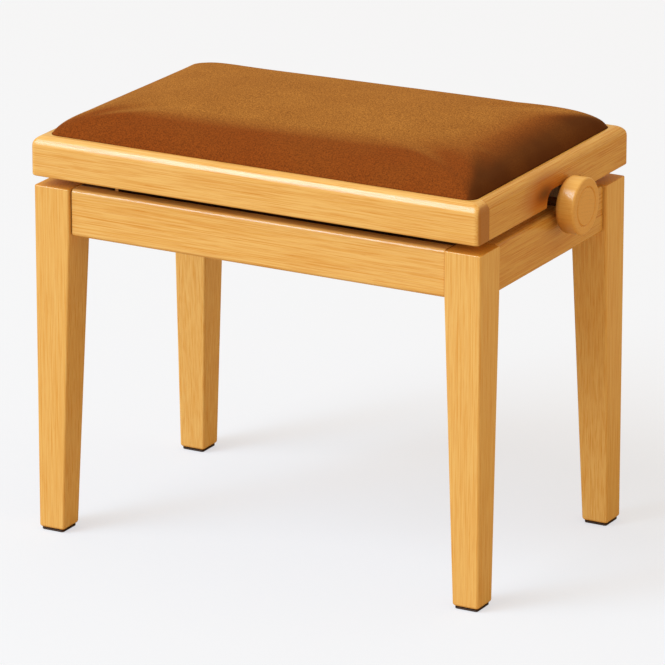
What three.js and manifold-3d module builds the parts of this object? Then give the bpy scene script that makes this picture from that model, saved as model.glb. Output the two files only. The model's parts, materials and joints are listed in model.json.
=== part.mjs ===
import * as THREE from "three";
import { mergeVertices } from "three/addons/utils/BufferGeometryUtils.js";
import Module from "manifold-3d";

// A height-adjustable piano bench, drawn at the lowest setting of its seat.
// Millimetres, +Z up. X runs along the bench and the player sits on the -Y side.
// The origin is on the floor, below the middle of the box that holds bench and knob.

const wasm = await Module();
wasm.setup();

// Stand: four tapered legs joined by aprons
const benchLength = 553;
const benchDepth = 345;
const legHeight = 399;
const legTopWidth = 44;
const legTopDepth = 45.5;
const legFootWidth = 31.5;
const legFootDepth = 33;
const legCornerRadius = 2.5;
const legEndRound = 3.5;
const glideThickness = 3;
const glideInset = 3.5;
const glideEdge = 0.8;
const apronHeight = 54;
const apronThickness = 22;
const apronSetback = 4;
const apronEdgeRadius = 3.5;
const apronEndRound = 1.6;
const tenonLength = 14;
const tenonThickness = 8;
const tenonShoulder = 9;
const blockReach = 56;
const blockEndWidth = 10;
const blockHeight = 30;
const blockTopDrop = 1;

// Seat frame: four rails with a rebate for the board, a little larger than the stand
const frameEndOverhang = 0.5;
const frameFrontOverhang = 6;
const frameHeight = 45;
const frameThickness = 24;
const frameCornerRadius = 5;
const frameLeastCorner = 1;
const frameTopRadius = 12;
const frameFootRadius = 2.5;
const rebateWidth = 10;
const rebateDepth = 11;
const rebateCornerRadius = 12;
const seatGap = 12;
const notchHalfWidth = 44;
const notchHeight = 19;
const notchCornerRadius = 15;
const boardThickness = 9;

// Cushion
const cushionShoulderHeight = 24;
const cushionShoulderWidth = 63;
const cushionCrownHeight = 5.5;
const cushionEdgeHeight = 2;
const cushionCornerGrowthShare = 0.75;
const cushionRise = 1.45;
const cushionCrownShares = [0.3, 0.6, 0.85, 0.98];

// Scissor lift below the seat
const seatLift = 90;
const armWidth = 20;
const armThickness = 4;
const armBelowBoard = 1.3;
const pinRadius = 5;
const shoulderRadius = 7;
const pinHeadRadius = 7;
const pinHeadThickness = 3;
const centreBoltRadius = 4;
const centreTubeRadius = 9;
const spacerRadius = 7.5;
const sheetThickness = 3;
const channelWidth = 17;
const channelDepthBelowPivot = 37;
const channelOuterHeight = 26;
const webEarHeight = 11;
const webEarLength = 20;
const webMiddleBelowPivot = 6;
const railOverhang = 33;
const channelEndGap = 1.3;
const flangeWidth = 17;
const flangeThickness = 2.5;
const traverseWidth = 22;
const traverseHeight = 22;

// Screw spindle and its knob
const spindleRadius = 5;
const spindleBehindMiddle = 25;
const spindleTail = 16;
const collarRadius = 9;
const collarLength = 6;
const nutRadius = 7.5;
const nutFlangeRadius = 11;
const nutFlangeThickness = 3;
const bushWall = 2;
const bushFlangeRadius = 9;
const bushFlangeThickness = 2;
const plateThickness = 4;
const plateWidth = 50;
const plateAboveSpindle = 11;
const plateBelowSpindle = 50;
const ringThickness = 1.6;
const ringWidth = 1.4;
const knobRadius = 32;
const knobThickness = 24;
const knobStandOff = 1.5;
const knobBackRound = 7;
const knobFaceRound = 3;
const knobRingRadius = 21.5;
const knobRingDepth = 0.9;
const knobRingWidth = 2.2;
const knobBoreDepth = 14;

// Wood screws
const screwShankRadius = 2;
const screwLength = 14;
const boardScrewLength = 9;
const screwTipLength = 4;
const screwHeadRadius = 4;
const screwHeadHeight = 2.4;
const screwTipRadius = 0.3;
const plateScrewSpread = 16;
const plateScrewBelowSpindle = 34;
const channelScrewBelowEdge = 10;
const channelScrewInset = 49;

// Clearances, cuts and roundness
const fitGap = 0.3;
const runningGap = 0.4;
const cutOverrun = 5;
const edgeSteps = 3;
const arcSteps = 5;
const screwSteps = 12;
const pinSteps = 20;
const knobSteps = 56;
const cushionCornerSteps = 7;
const cushionSideSteps = 6;
const cushionShoulderSteps = 12;

// Places worked out from the sizes above
const halfLength = benchLength / 2;
const halfDepth = benchDepth / 2;
const legTop = glideThickness + legHeight;
const apronBottom = legTop - apronHeight;
const apronFaceX = halfLength - apronSetback;
const apronFaceY = halfDepth - apronSetback;
const apronBackX = apronFaceX - apronThickness;
const apronBackY = apronFaceY - apronThickness;
const legInnerX = halfLength - legTopWidth;
const legInnerY = halfDepth - legTopDepth;
const frameHalfLength = halfLength + frameEndOverhang;
const frameHalfDepth = halfDepth + frameFrontOverhang;
const frameBottom = legTop + seatGap;
const frameTop = frameBottom + frameHeight;
const frameBackX = frameHalfLength - frameThickness;
const frameBackY = frameHalfDepth - frameThickness;
const rebateX = frameBackX + rebateWidth;
const rebateY = frameBackY + rebateWidth;
const rebateBottom = frameTop - rebateDepth;
const boardBottom = rebateBottom + fitGap;
const boardTop = boardBottom + boardThickness;

// Pivots: the spindle's ring clears the apron, the arms clear the board and the channels clear the blocks
const ringInnerRadius = spindleRadius + fitGap;
const ringOuterRadius = ringInnerRadius + ringWidth;
const pivotZ = legTop + ringOuterRadius + fitGap;
const seatPivotZ = boardBottom - armBelowBoard - armWidth / 2;
const armRise = seatPivotZ - pivotZ;
const blockEndX = apronBackX - fitGap - blockReach;
const earOuterX = blockEndX - channelEndGap;
const halfSpan = earOuterX - railOverhang;
const armLength = Math.sqrt((2 * halfSpan) ** 2 + armRise ** 2);
const raisedHalfSpan = Math.sqrt(armLength ** 2 - (armRise + seatLift) ** 2) / 2;
const nutTravel = 2 * (halfSpan - raisedHalfSpan);
const fixedPivotX = -halfSpan;
const slidingPivotX = halfSpan;
const centreZ = (pivotZ + seatPivotZ) / 2;

// Stack of plates across the bench, from the apron inwards
const channelOuterY = apronBackY - fitGap;
const webInnerY = channelOuterY - channelWidth;
const webOuterY = webInnerY + sheetThickness;
const outerArmY = webInnerY - fitGap - armThickness;
const innerArmY = outerArmY - fitGap - armThickness;
const pinEndY = webOuterY + fitGap;

// Stretches of the channels and angles along the bench
const slotFrom = slidingPivotX - nutTravel - fitGap;
const slotTo = slidingPivotX + fitGap;
const earInnerX = slotFrom - webEarLength;

const plateX = apronBackX - fitGap;
const bushInnerX = plateX - plateThickness - fitGap;
const collarX = bushInnerX - bushFlangeThickness - fitGap;
const knobBackX = frameHalfLength + knobStandOff;
const knobFaceX = knobBackX + knobThickness;
const spindleEndX = slidingPivotX - nutTravel - traverseWidth / 2 - spindleTail;
const middleX = (knobFaceX - frameHalfLength) / 2;

const beech = { color: 0xe3a75a, roughness: 0.42, metalness: 0 };
const sideBeech = { color: 0xd79a4e, roughness: 0.42, metalness: 0 };
const knobWood = { color: 0xc98a3f, roughness: 0.38, metalness: 0 };
const plywood = { color: 0xd8b98a, roughness: 0.7, metalness: 0 };
const velvet = { color: 0x9c571d, roughness: 0.95, metalness: 0 };
const steel = { color: 0x2e2622, roughness: 0.45, metalness: 0.6 };
const brass = { color: 0xb79045, roughness: 0.35, metalness: 0.9 };
const glidePlastic = { color: 0x3a2a1e, roughness: 0.6, metalness: 0 };

const bench = new THREE.Group();
bench.position.x = -middleX;

function addPart(name, geometry, finish) {
  const mesh = new THREE.Mesh(geometry, new THREE.MeshStandardMaterial(finish));
  mesh.name = name;
  bench.add(mesh);
}

// Solids and booleans

function toSolid(geometry) {
  const bare = geometry.index ? geometry.toNonIndexed() : geometry.clone();
  bare.deleteAttribute("normal");
  bare.deleteAttribute("uv");
  const merged = mergeVertices(bare);
  return new wasm.Manifold(new wasm.Mesh({
    numProp: 3,
    vertProperties: merged.attributes.position.array,
    triVerts: new Uint32Array(merged.index.array),
  }));
}

function toGeometry(solid) {
  const { vertProperties, triVerts } = solid.getMesh();
  const geometry = new THREE.BufferGeometry();
  geometry.setAttribute("position", new THREE.BufferAttribute(vertProperties, 3));
  geometry.setIndex(new THREE.BufferAttribute(triVerts, 1));
  geometry.computeVertexNormals();
  return geometry;
}

function cut(geometry, ...tools) {
  return toGeometry(tools.reduce((rest, tool) => rest.subtract(toSolid(tool)), toSolid(geometry)));
}

function join(geometry, ...others) {
  return toGeometry(others.reduce((sum, other) => sum.add(toSolid(other)), toSolid(geometry)));
}

function common(geometry, other) {
  return toGeometry(toSolid(geometry).intersect(toSolid(other)));
}

// Basic shapes

function boxBetween([x0, y0, z0], [x1, y1, z1]) {
  const box = new THREE.BoxGeometry(Math.abs(x1 - x0), Math.abs(y1 - y0), Math.abs(z1 - z0));
  return box.translate((x0 + x1) / 2, (y0 + y1) / 2, (z0 + z1) / 2);
}

// A turned form: [distance along the axis, radius] pairs, with the ends closed on the axis.
function turned(profile, steps, axis) {
  const closed = [[profile[0][0], 0], ...profile, [profile.at(-1)[0], 0]];
  const points = closed.map(([along, radius]) => new THREE.Vector2(radius, along));
  const lathe = new THREE.LatheGeometry(points, steps);
  if (axis === "x") lathe.rotateZ(-Math.PI / 2);
  if (axis === "z") lathe.rotateX(Math.PI / 2);
  return lathe;
}

function rod(axis, radius, from, to) {
  return turned([[from, radius], [to, radius]], pinSteps, axis);
}

// Stands a flat shape up in the XZ plane: shape X stays X, shape Y becomes Z, and the depth fills +Y.
function uprightPlate(shape, thickness, curveSegments = arcSteps) {
  const plate = new THREE.ExtrudeGeometry(shape, { depth: thickness, bevelEnabled: false, curveSegments });
  return plate.rotateX(Math.PI / 2).translate(0, thickness, 0);
}

function roundedOutline(halfX, halfY, radius, steps) {
  const centres = [[1, 1], [-1, 1], [-1, -1], [1, -1]];
  return centres.flatMap(([sx, sy], corner) => Array.from({ length: steps + 1 }, (_, step) => {
    const angle = (corner + step / steps) * Math.PI / 2;
    return [
      sx * (halfX - radius) + radius * Math.cos(angle),
      sy * (halfY - radius) + radius * Math.sin(angle),
    ];
  }));
}

// A closed solid through stacked outlines of the same number of points, each { z, outline }.
function loft(rings) {
  const count = rings[0].outline.length;
  const positions = rings.flatMap(({ z, outline }) => outline.flatMap(([x, y]) => [x, y, z]));
  const faces = [];
  for (let level = 0; level < rings.length - 1; level += 1) {
    for (let point = 0; point < count; point += 1) {
      const next = (point + 1) % count;
      const low = level * count;
      const high = low + count;
      faces.push(low + point, low + next, high + next, low + point, high + next, high + point);
    }
  }
  for (const [level, flipped] of [[0, true], [rings.length - 1, false]]) {
    const { z, outline } = rings[level];
    const centre = positions.length / 3;
    const middle = [0, 1].map((axis) => outline.reduce((sum, point) => sum + point[axis], 0) / count);
    positions.push(...middle, z);
    for (let point = 0; point < count; point += 1) {
      const here = level * count + point;
      const next = level * count + (point + 1) % count;
      faces.push(centre, ...(flipped ? [next, here] : [here, next]));
    }
  }
  const geometry = new THREE.BufferGeometry();
  geometry.setAttribute("position", new THREE.Float32BufferAttribute(positions, 3));
  geometry.setIndex(faces);
  geometry.computeVertexNormals();
  return geometry;
}

// Turns a form drawn on X and Y and standing on Z: X goes to Y, Y goes to Z and Z goes to X.
const layAlongX = new THREE.Matrix4().makeBasis(
  new THREE.Vector3(0, 1, 0),
  new THREE.Vector3(0, 0, 1),
  new THREE.Vector3(1, 0, 0),
);

// Insets that round an edge of the given radius, from the end face to the full section.
function roundInsets(radius, steps) {
  return Array.from({ length: steps + 1 }, (_, step) => {
    const angle = step / steps * Math.PI / 2;
    return { along: radius * (1 - Math.cos(angle)), inset: radius * (1 - Math.sin(angle)) };
  });
}

// A board along X or Y with rounded long edges and softened ends.
function board(axis, from, to, faceLow, faceHigh, bottom, top, radius, endRound) {
  const halfThickness = (faceHigh - faceLow) / 2;
  const halfHeight = (top - bottom) / 2;
  const ends = roundInsets(endRound, edgeSteps);
  const levels = [
    ...ends.map(({ along, inset }) => ({ z: from + along, inset })),
    ...ends.reverse().map(({ along, inset }) => ({ z: to - along, inset })),
  ];
  const solid = loft(levels.map(({ z, inset }) => ({
    z,
    outline: roundedOutline(halfThickness - inset, halfHeight - inset, radius - inset, arcSteps),
  })));
  // The loft stands on Z: it is laid down along X, with its second side upright, then swung to its axis.
  solid.applyMatrix4(layAlongX);
  const across = (faceLow + faceHigh) / 2;
  const height = (bottom + top) / 2;
  if (axis === "x") return solid.translate(0, across, height);
  return solid.rotateZ(Math.PI / 2).translate(across, 0, height);
}

// Stand

function leg(sideX, sideY) {
  const ends = roundInsets(legEndRound, edgeSteps);
  const levels = [
    ...ends.map(({ along, inset }) => ({ z: glideThickness + along, inset })),
    { z: apronBottom, inset: 0 },
    ...ends.reverse().map(({ along, inset }) => ({ z: legTop - along, inset })),
  ];
  const rings = levels.map(({ z, inset }) => {
    const taperShare = Math.max(0, apronBottom - z) / (apronBottom - glideThickness);
    const width = legTopWidth - (legTopWidth - legFootWidth) * taperShare;
    const depth = legTopDepth - (legTopDepth - legFootDepth) * taperShare;
    const centreX = sideX * (halfLength - width / 2);
    const centreY = sideY * (halfDepth - depth / 2);
    const outline = roundedOutline(width / 2 - inset, depth / 2 - inset, legCornerRadius, edgeSteps);
    return { z, outline: outline.map(([x, y]) => [x + centreX, y + centreY]) };
  });
  return cut(loft(rings), mortise("x", sideX, sideY), mortise("y", sideX, sideY));
}

// The tenon of an apron along X or Y, grown by a clearance to make its mortise.
function tenon(axis, sideX, sideY, clearance = 0) {
  const half = tenonThickness / 2 + clearance;
  const low = apronBottom + tenonShoulder - clearance;
  const high = legTop - tenonShoulder + clearance;
  const reach = tenonLength + clearance;
  const centreX = sideX * (apronFaceX - apronThickness / 2);
  const centreY = sideY * (apronFaceY - apronThickness / 2);
  return axis === "x"
    ? boxBetween(
      [sideX * (legInnerX - cutOverrun), centreY - half, low],
      [sideX * (legInnerX + reach), centreY + half, high])
    : boxBetween(
      [centreX - half, sideY * (legInnerY - cutOverrun), low],
      [centreX + half, sideY * (legInnerY + reach), high]);
}

function mortise(axis, sideX, sideY) {
  return tenon(axis, sideX, sideY, fitGap);
}

function longApron(sideY) {
  const faces = [sideY * apronFaceY, sideY * apronBackY].sort((a, b) => a - b);
  const end = legInnerX - fitGap;
  const body = board("x", -end, end, ...faces, apronBottom, legTop, apronEdgeRadius, apronEndRound);
  return join(body, tenon("x", 1, sideY), tenon("x", -1, sideY));
}

function shortApron(sideX) {
  const faces = [sideX * apronFaceX, sideX * apronBackX].sort((a, b) => a - b);
  const end = legInnerY - fitGap;
  const body = board("y", -end, end, ...faces, apronBottom, legTop, apronEdgeRadius, apronEndRound);
  return join(body, tenon("y", sideX, 1), tenon("y", sideX, -1));
}

function cornerBlock(sideX, sideY) {
  const wallX = apronBackX - fitGap;
  const wallY = apronBackY - fitGap;
  const cornerX = legInnerX - fitGap;
  const cornerY = legInnerY - fitGap;
  const corners = [
    [wallX, wallY - blockReach], [wallX, cornerY], [cornerX, cornerY],
    [cornerX, wallY], [wallX - blockReach, wallY],
    [wallX - blockReach, wallY - blockEndWidth], [wallX - blockEndWidth, wallY - blockReach],
  ].map(([x, y]) => new THREE.Vector2(sideX * x, sideY * y));
  const shape = new THREE.Shape(corners);
  const block = new THREE.ExtrudeGeometry(shape, { depth: blockHeight, bevelEnabled: false });
  return block.translate(0, 0, legTop - blockTopDrop - blockHeight);
}

function glide(sideX, sideY) {
  const halfWidth = legFootWidth / 2 - glideInset;
  const halfSide = legFootDepth / 2 - glideInset;
  const centreX = sideX * (halfLength - legFootWidth / 2);
  const centreY = sideY * (halfDepth - legFootDepth / 2);
  const ring = (z, inset) => {
    const outline = roundedOutline(halfWidth - inset, halfSide - inset, legCornerRadius, edgeSteps);
    return { z, outline: outline.map(([x, y]) => [x + centreX, y + centreY]) };
  };
  return loft([
    ring(0, glideEdge),
    ring(glideEdge, 0),
    ring(glideThickness - fitGap, 0),
  ]);
}

// Seat frame

function frameBlank() {
  const foot = roundInsets(frameFootRadius, edgeSteps)
    .map(({ along, inset }) => ({ z: frameBottom + along, inset }));
  const top = roundInsets(frameTopRadius, arcSteps).reverse()
    .map(({ along, inset }) => ({ z: frameTop - along, inset }));
  return loft([...foot, ...top].map(({ z, inset }) => ({
    z,
    outline: roundedOutline(
      frameHalfLength - inset,
      frameHalfDepth - inset,
      Math.max(frameCornerRadius - inset, frameLeastCorner),
      arcSteps,
    ),
  })));
}

function rebateOutline(clearance) {
  return roundedOutline(
    rebateX - clearance,
    rebateY - clearance,
    rebateCornerRadius - clearance,
    cushionCornerSteps,
  );
}

function frameOpening() {
  const through = boxBetween(
    [-frameBackX, -frameBackY, frameBottom - cutOverrun],
    [frameBackX, frameBackY, frameTop + cutOverrun]);
  const rebate = loft([rebateBottom, frameTop + cutOverrun].map((z) => ({ z, outline: rebateOutline(0) })));
  return join(through, rebate);
}

// An arch in the underside of the right rail, which clears shaft and fingers behind the knob.
function knobNotch() {
  const outline = new THREE.Shape();
  const cornerY = notchHalfWidth - notchCornerRadius;
  const cornerZ = notchHeight - notchCornerRadius;
  outline.moveTo(-notchHalfWidth, -cutOverrun);
  outline.lineTo(notchHalfWidth, -cutOverrun);
  outline.lineTo(notchHalfWidth, cornerZ);
  outline.absarc(cornerY, cornerZ, notchCornerRadius, 0, Math.PI / 2);
  outline.absarc(-cornerY, cornerZ, notchCornerRadius, Math.PI / 2, Math.PI);
  outline.closePath();
  const depth = frameThickness + 2 * cutOverrun;
  const arch = new THREE.ExtrudeGeometry(outline, { depth, bevelEnabled: false, curveSegments: arcSteps });
  arch.applyMatrix4(layAlongX);
  return arch.translate(frameBackX - cutOverrun, spindleBehindMiddle, frameBottom);
}

function addSeatFrame() {
  const ring = cut(frameBlank(), frameOpening());
  const far = frameHalfLength + cutOverrun;
  const low = frameBottom - cutOverrun;
  const high = frameTop + cutOverrun;
  const jointX = frameBackX - fitGap;
  const jointY = frameBackY - fitGap;
  const front = boxBetween([-far, -far, low], [far, -frameBackY, high]);
  const left = boxBetween([-far, -jointY, low], [-frameBackX, far, high]);
  const right = boxBetween([frameBackX, -jointY, low], [far, far, high]);
  const rear = boxBetween([-jointX, frameBackY, low], [jointX, far, high]);
  addPart("seat_rail_front", common(ring, front), beech);
  addPart("seat_rail_rear", common(ring, rear), beech);
  addPart("seat_rail_left", common(ring, left), sideBeech);
  addPart("seat_rail_right", cut(common(ring, right), knobNotch()), sideBeech);
}

function seatBoard() {
  return loft([boardBottom, boardTop].map((z) => ({ z, outline: rebateOutline(fitGap) })));
}

// A pad that leaves the rebate upright, climbs a broad soft shoulder and rises to a crown.
// The higher the outline, the rounder its corners, so the corners are drawn in.
function cushion() {
  const baseX = rebateX - fitGap;
  const baseY = rebateY - fitGap;
  const bottom = boardTop + fitGap;
  const edgeTop = bottom + cushionEdgeHeight;
  const shoulderTop = edgeTop + cushionShoulderHeight;
  const outlineAt = (inset) => {
    const fullRadius = rebateCornerRadius - fitGap + inset * cushionCornerGrowthShare;
    const radius = Math.min(fullRadius, baseY - inset);
    return withSidePoints(roundedOutline(baseX - inset, baseY - inset, radius, cushionCornerSteps));
  };
  const levels = [{ z: bottom, inset: 0 }, { z: edgeTop, inset: 0 }];
  for (let step = 1; step <= cushionShoulderSteps; step += 1) {
    const angle = step / cushionShoulderSteps * Math.PI / 2;
    levels.push({
      z: edgeTop + cushionShoulderHeight * Math.sin(angle) ** cushionRise,
      inset: cushionShoulderWidth * (1 - Math.cos(angle)),
    });
  }
  for (const share of cushionCrownShares) {
    levels.push({
      z: shoulderTop + cushionCrownHeight * Math.sin(share * Math.PI / 2),
      inset: cushionShoulderWidth + (baseY - cushionShoulderWidth) * share,
    });
  }
  return loft(levels.map(({ z, inset }) => ({ z, outline: outlineAt(inset) })));
}

// Adds points along the four straight stretches of a rounded outline.
function withSidePoints(points) {
  const perCorner = points.length / 4;
  return points.flatMap((point, index) => {
    if ((index + 1) % perCorner) return [point];
    const next = points[(index + 1) % points.length];
    return Array.from({ length: cushionSideSteps }, (_, step) => {
      const share = step / cushionSideSteps;
      return [point[0] + (next[0] - point[0]) * share, point[1] + (next[1] - point[1]) * share];
    });
  });
}

// Scissor lift

function roundHole(x, z, radius) {
  const hole = new THREE.Path();
  hole.absarc(x, z, radius, 0, 2 * Math.PI, true);
  return hole;
}

function slot(fromX, toX, z, radius) {
  const hole = new THREE.Path();
  hole.absarc(toX, z, radius, -Math.PI / 2, Math.PI / 2);
  hole.absarc(fromX, z, radius, Math.PI / 2, Math.PI * 3 / 2);
  hole.closePath();
  return hole;
}

// A flat bar between two pivots, with rounded ends and three holes.
function arm(lowX, lowZ, highX, highZ, innerY) {
  const tilt = Math.atan2(highZ - lowZ, highX - lowX);
  const half = armWidth / 2;
  const shape = new THREE.Shape();
  shape.absarc(armLength, 0, half, -Math.PI / 2, Math.PI / 2);
  shape.absarc(0, 0, half, Math.PI / 2, Math.PI * 3 / 2);
  shape.closePath();
  shape.holes.push(
    roundHole(0, 0, pinRadius + fitGap),
    roundHole(armLength / 2, 0, centreBoltRadius + fitGap),
    roundHole(armLength, 0, pinRadius + fitGap),
  );
  const bar = uprightPlate(shape, armThickness);
  return bar.rotateY(-tilt).translate(lowX, innerY, lowZ);
}

// Upright web of a base channel: high at the pivots, low between them.
function baseWebShape() {
  const bottom = pivotZ - channelDepthBelowPivot;
  const top = pivotZ + webEarHeight;
  const low = pivotZ - webMiddleBelowPivot;
  const shape = new THREE.Shape([
    [-earOuterX, bottom], [earOuterX, bottom],
    [earOuterX, top], [earInnerX, top],
    [earInnerX - webEarLength, low], [webEarLength - earInnerX, low],
    [-earInnerX, top], [-earOuterX, top],
  ].map(([x, z]) => new THREE.Vector2(x, z)));
  shape.holes.push(roundHole(fixedPivotX, pivotZ, pinRadius + fitGap));
  shape.holes.push(slot(slotFrom, slotTo, pivotZ, pinRadius + fitGap));
  return shape;
}

// Folded steel channel on the inside of the rear apron. The front one is its mirror image.
function baseChannel() {
  const bottom = pivotZ - channelDepthBelowPivot;
  const web = uprightPlate(baseWebShape(), sheetThickness).translate(0, webInnerY, 0);
  const floor = boxBetween(
    [-earOuterX, webInnerY, bottom],
    [earOuterX, channelOuterY, bottom + sheetThickness]);
  const back = boxBetween(
    [-earOuterX, channelOuterY - sheetThickness, bottom],
    [earOuterX, channelOuterY, bottom + channelOuterHeight]);
  return join(web, floor, back);
}

// Upright web of a seat angle: deep at the pivots, shallow between them.
function seatWebShape() {
  const top = boardBottom - fitGap;
  const bottom = seatPivotZ - webEarHeight;
  const raised = seatPivotZ + webMiddleBelowPivot;
  const shape = new THREE.Shape([
    [-earOuterX, bottom], [-earInnerX, bottom], [webEarLength - earInnerX, raised],
    [earInnerX - webEarLength, raised], [earInnerX, bottom], [earOuterX, bottom],
    [earOuterX, top], [-earOuterX, top],
  ].map(([x, z]) => new THREE.Vector2(x, z)));
  shape.holes.push(roundHole(fixedPivotX, seatPivotZ, pinRadius + fitGap));
  shape.holes.push(slot(slotFrom, slotTo, seatPivotZ, pinRadius + fitGap));
  return shape;
}

// Folded steel angle under the seat board, drawn at the rear like the channel.
function seatAngle() {
  const top = boardBottom - fitGap;
  const web = uprightPlate(seatWebShape(), sheetThickness).translate(0, webInnerY, 0);
  const flange = boxBetween(
    [-earOuterX, webInnerY, top - flangeThickness],
    [earOuterX, webInnerY + flangeWidth, top]);
  return join(web, flange);
}

// A rod across the bench: thick between the arms, thin through arms and webs, with riveted heads.
function crossRod(shoulderY, x, z) {
  const half = [
    [shoulderY, shoulderRadius], [shoulderY, pinRadius], [pinEndY, pinRadius],
    [pinEndY, pinHeadRadius], [pinEndY + pinHeadThickness, pinHeadRadius],
  ];
  const mirrored = half.map(([along, radius]) => [-along, radius]).reverse();
  return turned([...mirrored, ...half], pinSteps, "y").translate(x, 0, z);
}

// The sliding cross bar of the lift: a square bar with round journals, bored for the spindle nut.
function traverse() {
  const reach = innerArmY - fitGap;
  const bar = boxBetween(
    [-traverseWidth / 2, -reach, -traverseHeight / 2],
    [traverseWidth / 2, reach, traverseHeight / 2]);
  const end = pinEndY + pinHeadThickness;
  const profile = [
    [-end, pinHeadRadius], [-pinEndY, pinHeadRadius], [-pinEndY, pinRadius],
    [pinEndY, pinRadius], [pinEndY, pinHeadRadius], [end, pinHeadRadius],
  ];
  const solid = join(bar, turned(profile, pinSteps, "y"));
  const bore = rod("x", nutRadius + fitGap, -traverseWidth, traverseWidth);
  bore.translate(0, spindleBehindMiddle, 0);
  return cut(solid, bore).translate(slidingPivotX, 0, pivotZ);
}

// A ring on a cross rod that fills the gap beside the arm.
function spacer(sideY, x, z) {
  const ring = new THREE.Shape();
  ring.absarc(0, 0, spacerRadius, 0, 2 * Math.PI);
  ring.holes.push(roundHole(0, 0, pinRadius + fitGap));
  const innerY = sideY > 0 ? outerArmY : -outerArmY - armThickness;
  return uprightPlate(ring, armThickness, arcSteps * 2).translate(x, innerY, z);
}

// A shoulder bolt through both arms where they cross, screwed into the end of the cross tube.
function centreBolt(sideY) {
  const headStart = outerArmY + armThickness + fitGap;
  const shankEnd = innerArmY - fitGap - collarLength;
  const profile = [
    [shankEnd, centreBoltRadius], [headStart, centreBoltRadius],
    [headStart, pinHeadRadius], [headStart + sheetThickness, pinHeadRadius],
  ];
  const bolt = turned(profile, pinSteps, "y");
  if (sideY < 0) bolt.rotateZ(Math.PI);
  return bolt.translate(0, 0, centreZ);
}

function centreTube() {
  const end = innerArmY - fitGap;
  const bore = centreBoltRadius + fitGap;
  const tube = rod("y", centreTubeRadius, -end, end);
  const hollow = rod("y", bore, -end - cutOverrun, end + cutOverrun);
  return cut(tube, hollow).translate(0, 0, centreZ);
}

// Screw drive

function spindleNut() {
  const left = -traverseWidth / 2;
  const shoulder = traverseWidth / 2 + fitGap;
  const right = shoulder + nutFlangeThickness;
  const body = turned([
    [left, nutRadius], [shoulder, nutRadius],
    [shoulder, nutFlangeRadius], [right, nutFlangeRadius],
  ], pinSteps, "x");
  const bore = rod("x", spindleRadius + runningGap, left - cutOverrun, right + cutOverrun);
  return cut(body, bore).translate(slidingPivotX, spindleBehindMiddle, pivotZ);
}

function spindle() {
  const profile = [
    [spindleEndX, spindleRadius], [collarX - collarLength, spindleRadius],
    [collarX - collarLength, collarRadius], [collarX, collarRadius],
    [collarX, spindleRadius], [knobBackX + knobBoreDepth - fitGap, spindleRadius],
  ];
  return turned(profile, pinSteps, "x").translate(0, spindleBehindMiddle, pivotZ);
}

function bearingBush() {
  const outer = spindleRadius + runningGap + bushWall;
  const flangeX = bushInnerX - bushFlangeThickness;
  const body = turned([
    [flangeX, bushFlangeRadius], [bushInnerX, bushFlangeRadius],
    [bushInnerX, outer], [plateX, outer],
  ], pinSteps, "x");
  const bore = rod("x", spindleRadius + runningGap, flangeX - cutOverrun, plateX + cutOverrun);
  return cut(body, bore).translate(0, spindleBehindMiddle, pivotZ);
}

// The steel plate behind the right apron that holds the bush.
function bearingPlate() {
  const bushHole = spindleRadius + runningGap + bushWall + fitGap;
  const plate = boxBetween(
    [plateX - plateThickness, spindleBehindMiddle - plateWidth / 2, pivotZ - plateBelowSpindle],
    [plateX, spindleBehindMiddle + plateWidth / 2, pivotZ + plateAboveSpindle]);
  const hole = rod("x", bushHole, plateX - plateThickness - cutOverrun, plateX + cutOverrun)
    .translate(0, spindleBehindMiddle, pivotZ);
  return cut(plate, hole, ...plateScrewPlaces().map((place) => screwHole("x", 1, place)));
}

function retainingRing() {
  const from = apronBackX + fitGap;
  const ring = rod("x", ringOuterRadius, from, from + ringThickness);
  const bore = rod("x", ringInnerRadius, from - cutOverrun, from + ringThickness + cutOverrun);
  return cut(ring, bore).translate(0, spindleBehindMiddle, pivotZ);
}

function arcPoints(centreAlong, centreRadius, radius, fromAngle, toAngle) {
  return Array.from({ length: arcSteps + 1 }, (_, step) => {
    const angle = fromAngle + (toAngle - fromAngle) * step / arcSteps;
    return [centreAlong + radius * Math.cos(angle), centreRadius + radius * Math.sin(angle)];
  });
}

// A turned wooden knob: full rounded rim, flat face with one shallow ring, blind bore at the back.
function knob() {
  const faceRoundX = knobThickness - knobFaceRound;
  const rim = [
    ...arcPoints(knobBackRound, knobRadius - knobBackRound, knobBackRound, Math.PI, Math.PI / 2),
    ...arcPoints(faceRoundX, knobRadius - knobFaceRound, knobFaceRound, Math.PI / 2, 0),
    [knobThickness, knobRingRadius + knobRingWidth / 2],
    [knobThickness - knobRingDepth, knobRingRadius],
    [knobThickness, knobRingRadius - knobRingWidth / 2],
  ];
  const body = turned(rim, knobSteps, "x");
  const bore = rod("x", spindleRadius + fitGap, -cutOverrun, knobBoreDepth);
  return cut(body, bore).translate(knobBackX, spindleBehindMiddle, pivotZ);
}

// Screws

function turnTo(geometry, axis, sense) {
  if (axis === "x") geometry.rotateY(sense * Math.PI / 2);
  if (axis === "y") geometry.rotateX(-sense * Math.PI / 2);
  if (axis === "z" && sense < 0) geometry.rotateX(Math.PI);
  return geometry;
}

// A pan-head wood screw whose point looks along the axis, with the head's underside at its place.
function woodScrew(axis, sense, [x, y, z], length = screwLength) {
  const profile = [
    [-screwHeadHeight, screwHeadRadius - screwHeadHeight / 2], [-screwHeadHeight / 2, screwHeadRadius],
    [0, screwHeadRadius], [0, screwShankRadius],
    [length - screwTipLength, screwShankRadius], [length, screwTipRadius],
  ];
  return turnTo(turned(profile, screwSteps, "z"), axis, sense).translate(x, y, z);
}

function screwHole(axis, sense, [x, y, z], length = screwLength) {
  const radius = screwShankRadius + fitGap;
  const profile = [
    [-cutOverrun, radius], [length - screwTipLength, radius],
    [length + fitGap, screwTipRadius + fitGap],
  ];
  return turnTo(turned(profile, screwSteps, "z"), axis, sense).translate(x, y, z);
}

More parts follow.
